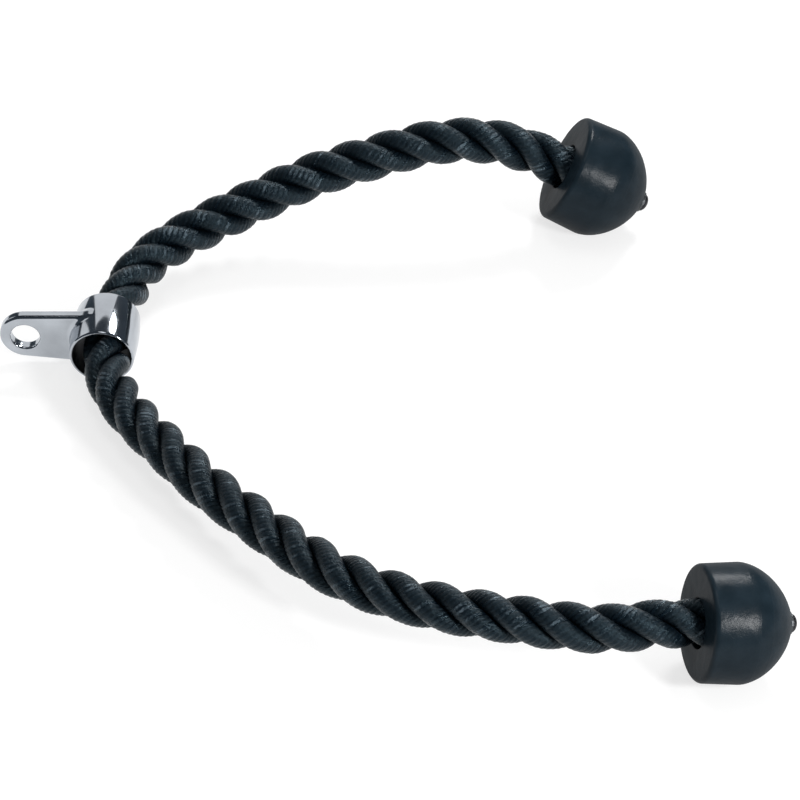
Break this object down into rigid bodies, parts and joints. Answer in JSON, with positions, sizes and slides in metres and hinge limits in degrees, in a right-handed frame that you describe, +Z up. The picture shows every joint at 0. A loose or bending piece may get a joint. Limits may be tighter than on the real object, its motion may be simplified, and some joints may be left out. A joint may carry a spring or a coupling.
{
  "type": "triceps rope attachment",
  "caption": "Laid rope through a chromed steel sleeve with an eye plate for a cable machine, and a mushroom-shaped rubber cap on each rope end.",
  "frame": {"origin": "on the floor, under the middle of the box round the eye bracket and both rubber caps, the free rope legs left out", "axes": "+Z up; -X the way the eye plate points, +X the way both rope legs reach; -Y towards the front leg, +Y towards the rear leg, along the sleeve's bore"},
  "size_m": [0.4806, 0.4652, 0.0771],
  "materials": {
    "chrome_plate": "polished chrome plate",
    "rope_fibre": "dull black laid synthetic fibre",
    "cap_rubber": "moulded black rubber with a soft sheen",
    "plain_steel": "zinc-plated steel",
    "screw_black": "black oxide"
  },
  "bodies": {
    "eye_bracket": {"sleeve": "chrome_plate", "eye_plate": "chrome_plate"},
    "rope_middle": {"rope_in_sleeve": "rope_fibre"},
    "front_leg": {"rope_leg_front": "rope_fibre", "rope_tail_front": "rope_fibre", "end_cap_front": "cap_rubber", "ferrule_front": "plain_steel", "washer_front": "plain_steel", "cap_screw_front": "screw_black"},
    "rear_leg": {"rope_leg_rear": "rope_fibre", "rope_tail_rear": "rope_fibre", "end_cap_rear": "cap_rubber", "ferrule_rear": "plain_steel", "washer_rear": "plain_steel", "cap_screw_rear": "screw_black"}
  },
  "joints": [
    {"name": "rope_swivel", "type": "hinge", "parent": "eye_bracket", "child": "rope_middle", "pos_m": [-0.17694, 0.04311, 0.0205], "axis": [0, 1, 0], "continuous": true},
    {"name": "front_leg_swing", "type": "hinge", "parent": "rope_middle", "child": "front_leg", "pos_m": [-0.1715, 0.01011, 0.0205], "axis": [0, 0, -1], "range_deg": [-25, 30], "stiffness_Nm_per_rad": 1},
    {"name": "rear_leg_swing", "type": "hinge", "parent": "rope_middle", "child": "rear_leg", "pos_m": [-0.1715, 0.07611, 0.0205], "axis": [0, 0, 1], "range_deg": [-25, 30], "stiffness_Nm_per_rad": 1}
  ]
}
